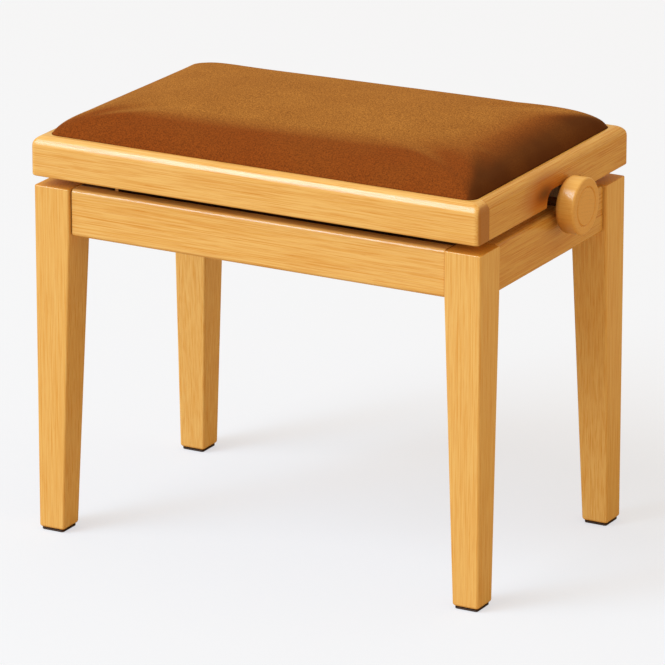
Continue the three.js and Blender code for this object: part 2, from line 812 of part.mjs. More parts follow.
function plateScrewPlaces() {
  const x = plateX - plateThickness - fitGap;
  const z = pivotZ - plateScrewBelowSpindle;
  return [-1, 1].map((side) => [x, spindleBehindMiddle + side * plateScrewSpread, z]);
}

function channelScrewPlaces(sideY) {
  const y = sideY * (channelOuterY - sheetThickness - fitGap);
  const z = pivotZ - channelDepthBelowPivot + channelOuterHeight - channelScrewBelowEdge;
  return [-1, 1].map((side) => [side * (earOuterX - channelScrewInset), y, z]);
}

// The screws through the angles stand where the ears end, clear of the heads of the sliding rod.
function angleScrewPlaces(sideY) {
  const y = sideY * (webOuterY + (flangeWidth - sheetThickness) / 2);
  const z = boardBottom - fitGap - flangeThickness - fitGap;
  return [-1, 1].map((side) => [side * earInnerX, y, z]);
}

// A rear piece as it is, or turned into its mirror image at the front.
function mirrored(geometry, sideY) {
  if (sideY > 0) return geometry;
  geometry.scale(1, -1, 1);
  const index = geometry.index.array;
  for (let face = 0; face < index.length; face += 3) {
    [index[face], index[face + 1]] = [index[face + 1], index[face]];
  }
  return geometry;
}

const sides = [["left", -1], ["right", 1]];
const ends = [["front", -1], ["rear", 1]];

function addStand() {
  for (const [sideName, sideX] of sides) {
    for (const [endName, sideY] of ends) {
      const corner = `${endName}_${sideName}`;
      addPart(`leg_${corner}`, leg(sideX, sideY), beech);
      addPart(`glide_${corner}`, glide(sideX, sideY), glidePlastic);
      addPart(`corner_block_${corner}`, cornerBlock(sideX, sideY), plywood);
    }
  }
  for (const [endName, sideY] of ends) {
    const places = channelScrewPlaces(sideY);
    const pilots = places.map((place) => screwHole("y", sideY, place));
    addPart(`apron_${endName}`, cut(longApron(sideY), ...pilots), beech);
    addPart(`base_channel_${endName}`, cut(mirrored(baseChannel(), sideY), ...pilots), steel);
    sides.forEach(([sideName], index) => {
      addPart(`channel_screw_${endName}_${sideName}`, woodScrew("y", sideY, places[index]), steel);
    });
  }
  const platePilots = plateScrewPlaces().map((place) => screwHole("x", 1, place));
  addPart("apron_left", shortApron(-1), sideBeech);
  addPart("apron_right", cut(shortApron(1), ...platePilots), sideBeech);
  addPart("fixed_pivot_rod", crossRod(outerArmY - fitGap, fixedPivotX, pivotZ), steel);
  addPart("bearing_plate", bearingPlate(), steel);
  addPart("bearing_bush", bearingBush(), brass);
  ends.forEach(([endName], index) => {
    addPart(`plate_screw_${endName}`, woodScrew("x", 1, plateScrewPlaces()[index]), steel);
  });
}

function addSeat() {
  addSeatFrame();
  const pilots = (sideY) => angleScrewPlaces(sideY)
    .map((place) => screwHole("z", 1, place, boardScrewLength));
  addPart("seat_board", cut(seatBoard(), ...pilots(-1), ...pilots(1)), plywood);
  addPart("cushion", cushion(), velvet);
  addPart("seat_pivot_rod", crossRod(innerArmY - fitGap, fixedPivotX, seatPivotZ), steel);
  for (const [endName, sideY] of ends) {
    const places = angleScrewPlaces(sideY);
    addPart(`seat_angle_${endName}`, cut(mirrored(seatAngle(), sideY), ...pilots(sideY)), steel);
    addPart(`seat_spacer_${endName}`, spacer(sideY, fixedPivotX, seatPivotZ), steel);
    sides.forEach(([sideName], index) => {
      const screw = woodScrew("z", 1, places[index], boardScrewLength);
      addPart(`angle_screw_${endName}_${sideName}`, screw, steel);
    });
  }
}

function addLift() {
  for (const [endName, sideY] of ends) {
    const outer = sideY > 0 ? outerArmY : -outerArmY - armThickness;
    const inner = sideY > 0 ? innerArmY : -innerArmY - armThickness;
    addPart(`outer_arm_${endName}`, arm(fixedPivotX, pivotZ, slidingPivotX, seatPivotZ, outer), steel);
    addPart(`inner_arm_${endName}`, arm(fixedPivotX, seatPivotZ, slidingPivotX, pivotZ, inner), steel);
    addPart(`centre_bolt_${endName}`, centreBolt(sideY), steel);
    addPart(`traverse_spacer_${endName}`, spacer(sideY, slidingPivotX, pivotZ), steel);
  }
  addPart("centre_tube", centreTube(), steel);
  addPart("sliding_rod", crossRod(outerArmY - fitGap, slidingPivotX, seatPivotZ), steel);
  addPart("traverse", traverse(), steel);
  addPart("spindle_nut", spindleNut(), brass);
  addPart("spindle", spindle(), steel);
  addPart("retaining_ring", retainingRing(), steel);
  addPart("knob", knob(), knobWood);
}

addStand();
addSeat();
addLift();

export default bench;
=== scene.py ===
import json
import math
import random

import bpy
import numpy as np
from mathutils import Matrix, Vector

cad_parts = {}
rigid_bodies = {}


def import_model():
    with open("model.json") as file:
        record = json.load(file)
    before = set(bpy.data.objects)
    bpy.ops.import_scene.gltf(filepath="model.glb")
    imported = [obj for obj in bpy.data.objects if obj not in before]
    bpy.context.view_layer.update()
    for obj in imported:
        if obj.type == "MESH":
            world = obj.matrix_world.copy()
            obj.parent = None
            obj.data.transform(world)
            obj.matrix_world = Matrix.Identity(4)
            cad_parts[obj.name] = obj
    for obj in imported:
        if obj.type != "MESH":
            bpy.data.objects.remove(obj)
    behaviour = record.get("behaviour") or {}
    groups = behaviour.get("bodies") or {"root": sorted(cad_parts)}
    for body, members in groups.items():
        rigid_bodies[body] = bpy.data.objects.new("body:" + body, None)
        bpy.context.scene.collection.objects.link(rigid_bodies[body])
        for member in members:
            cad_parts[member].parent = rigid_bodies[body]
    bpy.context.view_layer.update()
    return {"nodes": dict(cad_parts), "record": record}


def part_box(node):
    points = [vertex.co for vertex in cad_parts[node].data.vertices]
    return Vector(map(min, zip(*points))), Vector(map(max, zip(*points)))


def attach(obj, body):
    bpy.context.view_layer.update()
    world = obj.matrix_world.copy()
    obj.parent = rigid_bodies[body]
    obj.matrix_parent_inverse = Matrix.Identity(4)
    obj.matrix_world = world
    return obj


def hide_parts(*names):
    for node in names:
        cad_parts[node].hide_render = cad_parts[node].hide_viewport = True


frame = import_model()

# An adjustable piano bench: beech stand and seat frame, velvet cushion, steel scissor lift and turned knob.
# Metres, +Z up. X runs along the bench and the player sits on the -Y side.

# Timber edges and joints
leg_edge_round = 0.0025
leg_end_round = 0.0035
leg_top_round = 0.0012
leg_foot_width = 0.0315
leg_foot_depth = 0.033
apron_edge_round = 0.0045
apron_end_round = 0.0016
apron_end_gap = 0.0009
tenon_thickness = 0.008
tenon_shoulder = 0.009
tenon_length = 0.014
joint_gap = 0.0003
rail_top_round = 0.012
rail_foot_round = 0.0025
rail_corner_round = 0.006
rail_least_corner = 0.0045
rail_lip_width = 0.014
rebate_depth = 0.011
rebate_corner_round = 0.012
notch_half_width = 0.044
notch_height = 0.019
notch_corner_round = 0.015
glide_edge_round = 0.0008
glide_growth = 0.0015
arris = 0.0004
arris_angle = math.radians(40)
cutter_overrun = 0.005

# Knob
knob_back_round = 0.007
knob_face_round = 0.003
knob_ring_radius = 0.0215
knob_ring_depth = 0.0016
knob_ring_width = 0.0032
knob_bore_radius = 0.0053
knob_bore_depth = 0.014
turning_centre = 0.0002

# Cushion
pad_edge_height = 0.002
pad_shoulder_height = 0.024
pad_shoulder_width = 0.063
pad_crown_height = 0.0035
pad_rise = 1.3
pad_corner_round = 0.0117
pad_corner_growth = 0.75
pad_cell = 0.005
pad_cap = 0.003
pad_cloth_share = 0.35
pad_halvings = 36
least_length = 1e-9
cover_frames = 20
cover_quality = 6
cover_mass = 0.3
cover_stretch_stiffness = 25
cover_shear_stiffness = 12
cover_bending_stiffness = 4
cover_pressure = 1.5
# Where the cushion's painted slope shade begins, how much further in at the front right, and how softly it
# blends
shade_turn_share = 0.6
shade_turn_growth_share = 0.5
shade_blend_share = 0.6
pad_corner_fill_shares = {(-1, -1): 0.14, (1, -1): 0.08, (-1, 1): -0.31, (1, 1): 0.2}

# Steel work
spindle_radius = 0.005
thread_pitch = 0.003
thread_depth = 0.0009
thread_slope = 3
thread_flat = 0.25
thread_step = 0.0005
collar_radius = 0.009
collar_length = 0.006
turned_chamfer = 0.0005
pin_radius = 0.005
pin_head_thickness = 0.003
pin_head_round = 0.0012
bolt_radius = 0.004
bolt_socket_radius = 0.0029
bolt_socket_depth = 0.0018
screw_shank = 0.002
screw_head_radius = 0.004
screw_head_height = 0.0024
screw_tip_length = 0.004
screw_tip_radius = 0.0003
screw_recess_width = 0.0011
screw_recess_reach = 0.0023
screw_recess_depth = 0.0012
screw_dome_share = 0.8
ring_chamfer = 0.0002
flat_angle = math.radians(1)
weld_reach = 0.00001

# Roundness of the surfaces
even_shading_weight = 100
corner_steps = 8
end_steps = 6
rail_top_steps = 14
turned_steps = 64
screw_steps = 32
knob_steps = 128
knob_back_steps = 12
knob_face_steps = 8
knob_ring_steps = 8

# Wood: where a board lay in its log, and its figure in waves per metre, along the grain and across it
log_length = 9
heart_distance = (0.05, 0.08)
ring_spacing = 0.0042
wander_scales = (3, 14, 14)
board_scales = (1.5, 9, 9)
fibre_scales = (8, 720, 720)
hair_scales = (20, 1000, 1000)
pore_scales = (60, 800, 800)
end_dot_scales = (60, 900, 900)
veneer_scales = (14, 240, 240)
plies_per_metre = 650
pore_depth = 0.00008

# Beside the arch: wood darkened by hands, and painted shade from the knob and the arch. Low on the knob's
# back edge: painted shade.
wear_and_shade_shift = 0.006
wear_and_shade_deep_reach = 0.03
rail_wear_and_shade_shape = (0, 1, 2.2)
rail_wear_and_shade_reach = (0.01, 0.072)
rail_wear_and_shade_share = 1.0
# Low on the knob's back edge the darkened spot is painted shade
knob_shade_shape = (1.2, 0.8, 1)
knob_shade_reach = (0.006, 0.034)
knob_shade_share = 0.6

# Velvet, metal, enamel and plastic
pile_scale = 900
tuft_scale = 520
pile_depth = 0.0005
brushing_scales = (300, 300, 300)
brushing_depth = 0.00004
peel_scale = 420
grit_scale = 1400
fine_depth = 0.0001

# Camera, from the photograph: pixels are those of its 665 by 665 image
photo_size = 665
focal_pixels = 6000
stand_middle_pixel = (330.4, 330.6)
camera_azimuth = math.radians(28.88)
camera_elevation = math.radians(18.03)
camera_distance = 6.6586
camera_aim_height = 0.2277
sensor_width_mm = 36
view_reach = 100


# Helpers for solids

def add_object(name, mesh):
    piece = bpy.data.objects.new(name, mesh)
    bpy.context.scene.collection.objects.link(piece)
    return piece


def rounded_outline(half_p, half_q, radius, centre):
    """A rectangle with round corners, counter-clockwise, as (p, q) points."""
    points = []
    for corner, (sign_p, sign_q) in enumerate([(1, 1), (-1, 1), (-1, -1), (1, -1)]):
        for step in range(corner_steps + 1):
            angle = (corner + step / corner_steps) * math.pi / 2
            p = sign_p * (half_p - radius) + radius * math.cos(angle)
            q = sign_q * (half_q - radius) + radius * math.sin(angle)
            points.append((centre[0] + p, centre[1] + q))
    return points


def ring_outline(radius, steps, centre):
    """A circle with the given number of points."""
    turns = [step / steps * 2 * math.pi for step in range(steps)]
    return [(centre[0] + radius * math.cos(a), centre[1] + radius * math.sin(a)) for a in turns]


def round_insets(radius, steps=end_steps):
    """(along, inset) pairs that round an end, from the end face to the full section."""
    angles = [step / steps * math.pi / 2 for step in range(steps + 1)]
    return [(radius * (1 - math.cos(a)), radius * (1 - math.sin(a))) for a in angles]


def loft(name, axis, stations, closed=False):
    """A solid through stacked outlines. Each station is (place along the axis, outline)."""
    order = {"x": (2, 0, 1), "y": (1, 2, 0), "z": (0, 1, 2)}[axis]
    points = []
    for along, outline in stations:
        for p, q in outline:
            local = (p, q, along)
            points.append(tuple(local[i] for i in order))
    count = len(stations[0][1])
    levels = len(stations)
    faces = []
    for level in range(levels if closed else levels - 1):
        low, high = level * count, (level + 1) % levels * count
        for i in range(count):
            j = (i + 1) % count
            faces.append((low + i, low + j, high + j, high + i))
    if not closed:
        faces.append(tuple(reversed(range(count))))
        faces.append(tuple((levels - 1) * count + i for i in range(count)))
    mesh = bpy.data.meshes.new(name)
    mesh.from_pydata(points, [], faces)
    mesh.validate()
    return add_object(name, mesh)


def turned(name, axis, profile, centre, steps=turned_steps, closed=False):
    """A turned solid: profile holds (place along the axis, radius) pairs."""
    stations = [(along, ring_outline(radius, steps, centre)) for along, radius in profile]
    return loft(name, axis, stations, closed)


def block(low, high):
    """A plain box, used to cut with."""
    centre = ((low[0] + high[0]) / 2, (low[1] + high[1]) / 2)
    half = ((high[0] - low[0]) / 2, (high[1] - low[1]) / 2)
    corners = [(1, 1), (-1, 1), (-1, -1), (1, -1)]
    outline = [(centre[0] + a * half[0], centre[1] + b * half[1]) for a, b in corners]
    return loft("cutter", "z", [(low[2], outline), (high[2], outline)])


def freeze(piece):
    """Applies the modifiers of a piece to its mesh."""
    graph = bpy.context.evaluated_depsgraph_get()
    mesh = bpy.data.meshes.new_from_object(piece.evaluated_get(graph))
    piece.modifiers.clear()
    piece.data = mesh
    mesh.name = piece.name


def carve(piece, operation, *tools):
    """Cuts, joins or keeps what is common, and throws the tools away."""
    for tool in tools:
        cutter = piece.modifiers.new("carve", "BOOLEAN")
        cutter.operation = operation
        cutter.solver = "EXACT"
        cutter.object = tool
        freeze(piece)
        bpy.data.objects.remove(tool)
    return piece


def soften(piece):
    """Breaks the sharp arrises of a cut piece by a small round."""
    edge = piece.modifiers.new("arris", "BEVEL")
    edge.width = arris
    edge.segments = 2
    edge.limit_method = "ANGLE"
    edge.angle_limit = arris_angle
    edge.use_clamp_overlap = True


def shade_smooth(piece):
    mesh = piece.data
    mesh.polygons.foreach_set("use_smooth", [True] * len(mesh.polygons))
    evened = piece.modifiers.new("even_shading", "WEIGHTED_NORMAL")
    evened.keep_sharp = True
    evened.weight = even_shading_weight


def store_vectors(mesh, name, vectors):
    mesh.attributes.new(name, "FLOAT_VECTOR", "POINT").data.foreach_set("vector", vectors.ravel())


def lay_grain(piece, axis):
    """Stores each point's place, its place in the log (along, then across) and the log's direction."""
    mesh = piece.data
    places = np.empty(len(mesh.vertices) * 3, np.float32)
    mesh.vertices.foreach_get("co", places)
    places = places.reshape(-1, 3)
    order = {"x": [0, 1, 2], "y": [1, 2, 0], "z": [2, 0, 1]}[axis]
    dice = random.Random(piece.name)
    from_heart = [dice.uniform(0, log_length), dice.uniform(*heart_distance), dice.uniform(*heart_distance)]
    direction = np.array([axis == "x", axis == "y", axis == "z"], np.float32)
    store_vectors(mesh, "place", places)
    store_vectors(mesh, "grain", places[:, order] + np.array(from_heart, np.float32))
    store_vectors(mesh, "lengthwise", np.tile(direction, len(places)))


def finish_piece(piece, body, finish, node):
    """Gives a piece its finish and its body, and hides the solid that it stands for."""
    piece.data.materials.clear()
    piece.data.materials.append(finish)
    shade_smooth(piece)
    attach(piece, body)
    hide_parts(node)


# Finishes

def shade(code):
    """A colour written as on a paint card, in linear light."""
    parts = [int(code[i:i + 2], 16) / 255 for i in (1, 3, 5)]
    return [p / 12.92 if p <= 0.04045 else ((p + 0.055) / 1.055) ** 2.4 for p in parts] + [1]


class Wire:
    """One output of a finish's nodes. Sums and products of wires add their own nodes."""

    def __init__(self, finish, socket):
        self.finish = finish
        self.socket = socket

    def __add__(self, other):
        return self.finish.maths("ADD", self, other)

    def __mul__(self, other):
        return self.finish.maths("MULTIPLY", self, other)

    def __sub__(self, other):
        return self.finish.maths("SUBTRACT", self, other)

    def __rsub__(self, other):
        return self.finish.maths("SUBTRACT", other, self)

    def __truediv__(self, other):
        return self.finish.maths("DIVIDE", self, other)

    def __pow__(self, other):
        return self.finish.maths("POWER", self, other)

    __radd__ = __add__
    __rmul__ = __mul__

    def __abs__(self):
        return self.finish.maths("ABSOLUTE", self)

    def zigzag(self, height):
        """Rises to the height and falls to 0 again, over and over."""
        return self.finish.maths("PINGPONG", self, height)

    def above(self, low, high):
        """0 below low, 1 above high and a soft step between."""
        settings = {"interpolation_type": "SMOOTHSTEP"}
        return self.finish.node("MapRange", settings, {0: self, 1: low, 2: high})


class Finish:
    """The nodes of a material, or of the world, all made by one method."""

    def __init__(self, name, world=None):
        self.owner = world or bpy.data.materials.new(name)
        self.owner.use_nodes = True
        self.tree = self.owner.node_tree
        self.tree.nodes.clear()

    def node(self, kind, settings=None, sockets=None, output=0):
        made = self.tree.nodes.new("ShaderNode" + kind)
        for key, value in (settings or {}).items():
            setattr(made, key, value)
        for key, value in (sockets or {}).items():
            if isinstance(value, Wire):
                self.tree.links.new(value.socket, made.inputs[key])
            else:
                made.inputs[key].default_value = value
        return Wire(self, made.outputs[output]) if len(made.outputs) else made

    def maths(self, operation, *values):
        return self.node("Math", {"operation": operation}, dict(enumerate(values)))

    def stored(self, name, output=1):
        """A value that the mesh stores at its points: a vector, or with output 2 a number."""
        return self.node("Attribute", {"attribute_name": name}, output=output)

    def normal(self):
        return self.node("TexCoord", output=1)

    def place(self):
        return self.node("TexCoord", output=3)

    def part(self, vector, index):
        """The X, Y or Z part of a vector, by its index."""
        return self.node("SeparateXYZ", {}, {0: vector}, output=index)

    def stretched(self, vector, scales):
        """A vector with its three parts scaled."""
        return self.node("VectorMath", {"operation": "MULTIPLY"}, {0: vector, 1: scales})

    def noise(self, vector, scale=1, detail=2, roughness=0.5):
        sockets = {"Vector": vector, "Scale": scale, "Detail": detail, "Roughness": roughness}
        return self.node("TexNoise", {}, sockets)

    def blend(self, share, first, second):
        return self.node("Mix", {"data_type": "RGBA"}, {0: share, 6: first, 7: second}, output=2)

    def bump(self, height, distance, strength):
        sockets = {"Height": height, "Distance": distance, "Strength": strength}
        return self.node("Bump", {}, sockets)

    def surface(self, **sockets):
        named = {key.replace("_", " "): value for key, value in sockets.items()}
        shader = self.node("BsdfPrincipled", {}, named)
        self.node("OutputMaterial", {}, {"Surface": shader})
        return self.owner


def beech(name, tones, figure, wear_and_shade=None):
    """Lacquered beech: fine lengthwise fibres, short dark pores and darker end grain. Figure is its contrast.

    Its tones are pale, middle, streak and end grain. An optional darkened spot, which paints shade and beside
    the arch stands for hand wear too, is a middle, a shape, a reach and a share.
    """
    pale, middle, streak, end_tone = [shade(tone) for tone in tones]
    wood = Finish(name)
    log = wood.stored("grain")
    facings = {0: wood.normal(), 1: wood.stored("lengthwise")}
    facing_along = wood.node("VectorMath", {"operation": "DOT_PRODUCT"}, facings, output=1)
    end_grain = abs(facing_along).above(0.55, 0.9)

    wander = wood.noise(wood.stretched(log, wander_scales), detail=1)
    across, upward = wood.part(log, 1), wood.part(log, 2)
    from_heart = (across * across + upward * upward) ** 0.5
    rings = (from_heart / ring_spacing + wander * 5).zigzag(0.5) * 2
    fibres = wood.noise(wood.stretched(log, fibre_scales), detail=3, roughness=0.55)
    hairs = wood.noise(wood.stretched(log, hair_scales), detail=2, roughness=0.6)
    pores = wood.noise(wood.stretched(log, pore_scales), detail=1).above(0.62, 0.75)
    board = wood.noise(wood.stretched(log, board_scales), detail=1)
    dots = wood.noise(wood.stretched(log, end_dot_scales), detail=1).above(0.5, 0.7)

    lines = fibres.above(0.4, 0.66) * 0.5 + rings.above(0.4, 1.0) * 0.2 + board.above(0.3, 0.7) * 0.2
    threads = hairs.above(0.42, 0.66) * 0.5 + fibres.above(0.5, 0.68) * 0.35 + pores * 0.2
    long_face = wood.blend(lines, pale, middle)
    long_face = wood.blend(threads * figure, long_face, streak)
    end_face = wood.blend((dots * 0.35 + rings.above(0.6, 1.0) * 0.2) * figure, end_tone, shade("#a66c2c"))
    colour = wood.blend(end_grain, long_face, end_face)
    # A darkened spot of painted shade; beside the arch it stands for hand wear too
    if wear_and_shade:
        middle, shape, reach, share = wear_and_shade
        spot = wood.stretched(wood.stored("place"), shape)
        middle = [part * scale for part, scale in zip(middle, shape)]
        away = wood.node("VectorMath", {"operation": "DISTANCE"}, {0: spot, 1: middle}, output=1)
        stain_and_shade = wood.blend(away.above(0.0, wear_and_shade_deep_reach), shade("#6a2f07"), shade("#b45a0a"))
        colour = wood.blend((1 - away.above(*reach)) * share, colour, stain_and_shade)
    height = pores * -0.6 + fibres * -0.5 + hairs * -0.3
    return wood.surface(
        Base_Color=colour,
        Roughness=0.15 + fibres * 0.08 + end_grain * 0.25,
        Specular_IOR_Level=0.55,
        Normal=wood.bump(height, pore_depth, 0.5),
    )


def plywood(name, pale, dark, glue):
    """Plywood: faces of plain veneer, and edges of thin plies, dark and pale in turn."""
    sheet = Finish(name)
    place = sheet.place()
    plies = (sheet.part(place, 2) * plies_per_metre).zigzag(1).above(0.35, 0.65)
    fibres = sheet.noise(sheet.stretched(place, veneer_scales), detail=3)
    face = sheet.blend(fibres.above(0.35, 0.75), pale, dark)
    edge = 1 - abs(sheet.part(sheet.normal(), 2)).above(0.4, 0.8)
    colour = sheet.blend(edge * plies * 0.6, face, glue)
    bumps = sheet.bump(fibres, fine_depth, 0.4)
    return sheet.surface(Base_Color=colour, Roughness=0.55 + fibres * 0.2, Normal=bumps)


def velvet():
    """Short-pile velvet with painted light and shade: lighter on top, darker on the slopes that face the
    front, darkest on the right side.
    """
    cloth = Finish("brown_velvet")
    place = cloth.place()
    pile = cloth.noise(place, scale=pile_scale, roughness=0.7)
    tufts = cloth.noise(place, scale=tuft_scale)
    clouds = cloth.noise(place, scale=14)
    rightward, rearward = cloth.part(cloth.normal(), 0), cloth.part(cloth.normal(), 1)
    # Painted light and shade: the right side darkest, the slopes facing the front darker, the top lighter
    right_side_shade = rightward.above(0.08, 0.5)
    front_shade_mask = (rightward * 0.35 - rearward).above(-0.12, 0.15)
    shaded_velvet = cloth.blend(cloth.stored("slope", 2) * front_shade_mask, shade("#c5863d"), shade("#974b16"))
    shaded_velvet = cloth.blend(right_side_shade * 0.9, shaded_velvet, shade("#43220a"))
    worn = cloth.blend(clouds.above(0.3, 0.7) * 0.25, shaded_velvet, shade("#9c5c22"))
    specks = tufts.above(0.38, 0.64) * 0.3 + pile.above(0.38, 0.64) * 0.5
    return cloth.surface(
        Base_Color=cloth.blend(specks, worn, shade("#552708")),
        Roughness=0.92,
        Specular_IOR_Level=0.1,
        Sheen_Weight=0.18,
        Sheen_Roughness=0.45,
        Sheen_Tint=shade("#d9954e"),
        Normal=cloth.bump(pile * 0.6 + tufts * 0.4, pile_depth, 0.55),
    )


def turned_brass():
    """Brass with faint handling marks."""
    metal = Finish("turned_brass")
    place = metal.place()
    marks = metal.noise(metal.stretched(place, brushing_scales), detail=3, roughness=0.65)
    clouds = metal.noise(place, scale=22)
    tone = metal.blend(clouds.above(0.3, 0.7) * 0.5 + marks * 0.2, shade("#c9a253"), shade("#9c7a38"))
    return metal.surface(
        Base_Color=tone,
        Metallic=1.0,
        Roughness=0.28 + marks * 0.15 + clouds * 0.08,
        Normal=metal.bump(marks, brushing_depth, 0.5),
    )


def enamel():
    """Dark brown stove enamel, slightly uneven."""
    coat = Finish("dark_enamel")
    place = coat.place()
    peel = coat.noise(place, scale=peel_scale)
    clouds = coat.noise(place, scale=25)
    tone = coat.blend(clouds.above(0.3, 0.7), shade("#5c3d28"), shade("#4a2f1e"))
    return coat.surface(
        Base_Color=tone,
        Metallic=0.3,
        Roughness=0.38 + clouds * 0.12,
        Normal=coat.bump(peel, fine_depth, 0.3),
    )


def glide_plastic():
    foot = Finish("glide_plastic")
    grit = foot.noise(foot.place(), scale=grit_scale)
    tone = foot.blend(grit.above(0.4, 0.7), shade("#3b2414"), shade("#2a180c"))
    return foot.surface(Base_Color=tone, Roughness=0.5 + grit * 0.2, Normal=foot.bump(grit, fine_depth, 0.5))


knob_low, knob_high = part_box("knob")
arch_start = (knob_low.y + knob_high.y) / 2 - notch_half_width
arch_corner = (0, arch_start - wear_and_shade_shift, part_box("seat_rail_right")[0].z + notch_height)
knob_heel = (knob_low.x, knob_low.y + wear_and_shade_shift, knob_low.z + wear_and_shade_shift)
# Beside the arch the darkened spot is hand wear and painted shade from the knob and the arch
rail_wear_and_shade = (arch_corner, rail_wear_and_shade_shape, rail_wear_and_shade_reach, rail_wear_and_shade_share)
# Painted shade low on the knob's back edge
knob_painted_shade = (knob_heel, knob_shade_shape, knob_shade_reach, knob_shade_share)
# A darker, more saturated copy of the beech for the side aprons and rails: painted shade on their side faces
shaded_side_tones = ("#e8b766", "#e0a54b", "#cc8028", "#c1803a")
board_beech = beech("board_beech", ("#f5c97f", "#eeb962", "#d98f34", "#b97a36"), figure=0.92)
side_beech = beech("side_beech", shaded_side_tones, figure=1.2)
# The right rail's beech carries hand wear and painted shade beside the arch
handled_beech = beech("handled_beech", shaded_side_tones, figure=1.2, wear_and_shade=rail_wear_and_shade)
leg_beech = beech("leg_beech", ("#f4c87c", "#efba64", "#dc9438", "#eaa640"), figure=0.85)
knob_beech = beech("turned_beech", ("#f0bc6a", "#ebb25a", "#d8923a", "#f0b868"), figure=0.4, wear_and_shade=knob_painted_shade)
birch = plywood("birch_plywood", shade("#dcc096"), shade("#c39f6c"), shade("#8a633a"))
# A dark stain on the corner blocks, so that they read as the shade seen through the arch and the gaps: partly
# painted shade
shade_dark_plywood = plywood("stained_blocks", shade("#5e3c1d"), shade("#4a2c12"), shade("#38200c"))
seat_velvet = velvet()
dark_steel = enamel()
brass = turned_brass()
glide_finish = glide_plastic()
finish_of_slot = {"plywood": birch, "steel": dark_steel, "brass": brass}
slot_of = {subpart["node"]: subpart["material_slot"] for subpart in frame["record"]["subparts"]}


# Stand

def span(node):
    """The low corner, high corner and middle of a solid."""
    low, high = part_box(node)
    return low, high, (low + high) / 2


def tenon_block(apron, axis, end, gap=0.0):
    """The tenon at one end of an apron, or with a gap the cutter of its mortise."""
    low, high, middle = span(apron)
    half = tenon_thickness / 2 + gap
    shoulder_low = low.z + tenon_shoulder - gap
    shoulder_high = high.z - tenon_shoulder + gap
    along = 0 if axis == "x" else 1
    outer = (high if end > 0 else low)[along] + end * gap
    inner = outer - end * (tenon_length + apron_end_gap + cutter_overrun)
    ends = sorted((outer, inner))
    if axis == "x":
        return block((ends[0], middle.y - half, shoulder_low), (ends[1], middle.y + half, shoulder_high))
    return block((middle.x - half, ends[0], shoulder_low), (middle.x + half, ends[1], shoulder_high))


def make_leg(corner, sign_x, sign_y):
    """A leg that tapers below the aprons, with its mortises."""
    name = f"leg_{corner}"
    low, high, _ = span(name)
    apron_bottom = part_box("apron_front")[0].z
    outer_x = high.x if sign_x > 0 else low.x
    outer_y = high.y if sign_y > 0 else low.y
    top_width, top_depth = high.x - low.x, high.y - low.y
    levels = [(low.z + along, inset) for along, inset in round_insets(leg_end_round)]
    levels.append((apron_bottom, 0.0))
    levels += [(high.z - along, inset) for along, inset in reversed(round_insets(leg_top_round))]
    stations = []
    for z, inset in levels:
        taper = max(0.0, apron_bottom - z) / (apron_bottom - low.z)
        width = top_width + (leg_foot_width - top_width) * taper
        depth = top_depth + (leg_foot_depth - top_depth) * taper
        centre = (outer_x - sign_x * width / 2, outer_y - sign_y * depth / 2)
        outline = rounded_outline(width / 2 - inset, depth / 2 - inset, leg_edge_round, centre)
        stations.append((z, outline))
    leg = loft("beech_" + name, "z", stations)
    end_name, side_name = corner.split("_")
    mortises = [
        tenon_block(f"apron_{end_name}", "x", sign_x, joint_gap),
        tenon_block(f"apron_{side_name}", "y", sign_y, joint_gap),
    ]
    carve(leg, "DIFFERENCE", *mortises)
    lay_grain(leg, "z")
    finish_piece(leg, "stand", leg_beech, name)


def make_glide(corner):
    name = f"glide_{corner}"
    low, high, middle = span(name)
    half_x = (high.x - low.x) / 2 + glide_growth
    half_y = (high.y - low.y) / 2 + glide_growth
    levels = [(low.z + along, inset) for along, inset in round_insets(glide_edge_round)] + [(high.z, 0)]
    stations = [
        (z, rounded_outline(half_x - inset, half_y - inset, leg_edge_round, middle))
        for z, inset in levels
    ]
    glide = loft("foot_" + name, "z", stations)
    finish_piece(glide, "stand", glide_finish, name)


def make_apron(side, axis):
    """A board between two legs, with softened edges and a tenon at each end."""
    name = f"apron_{side}"
    low, high, middle = span(name)
    along = 0 if axis == "x" else 1
    across = 1 - along
    body_low = low[along] + tenon_length + apron_end_gap
    body_high = high[along] - tenon_length - apron_end_gap
    rounded = round_insets(apron_end_round)
    levels = [(body_low + step, inset) for step, inset in rounded]
    levels += [(body_high - step, inset) for step, inset in reversed(rounded)]
    half_thickness, half_height = (high[across] - low[across]) / 2, (high.z - low.z) / 2
    stations = []
    for place, inset in levels:
        round_now = apron_edge_round - inset
        if axis == "x":
            outline = rounded_outline(
                half_thickness - inset, half_height - inset, round_now, (middle.y, middle.z))
        else:
            outline = rounded_outline(
                half_height - inset, half_thickness - inset, round_now, (middle.z, middle.x))
        stations.append((place, outline))
    apron = loft("beech_" + name, axis, stations)
    carve(apron, "UNION", tenon_block(name, axis, -1), tenon_block(name, axis, 1))
    lay_grain(apron, axis)
    finish_piece(apron, "stand", board_beech if axis == "x" else side_beech, name)


# Seat frame

def frame_blank():
    """The whole seat frame as one board with round edges, before it is opened and cut into rails."""
    low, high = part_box("seat_rail_front")[0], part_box("seat_rail_right")[1]
    centre = ((low.x + high.x) / 2, (low.y + high.y) / 2)
    half_x, half_y = (high.x - low.x) / 2, (high.y - low.y) / 2
    levels = [(low.z + along, inset) for along, inset in round_insets(rail_foot_round)]
    top_round = round_insets(rail_top_round, rail_top_steps)
    levels += [(high.z - along, inset) for along, inset in reversed(top_round)]
    stations = []
    for z, inset in levels:
        corner = max(rail_corner_round - inset, rail_least_corner)
        outline = rounded_outline(half_x - inset, half_y - inset, corner, centre)
        stations.append((z, outline))
    return loft("frame_blank", "z", stations)


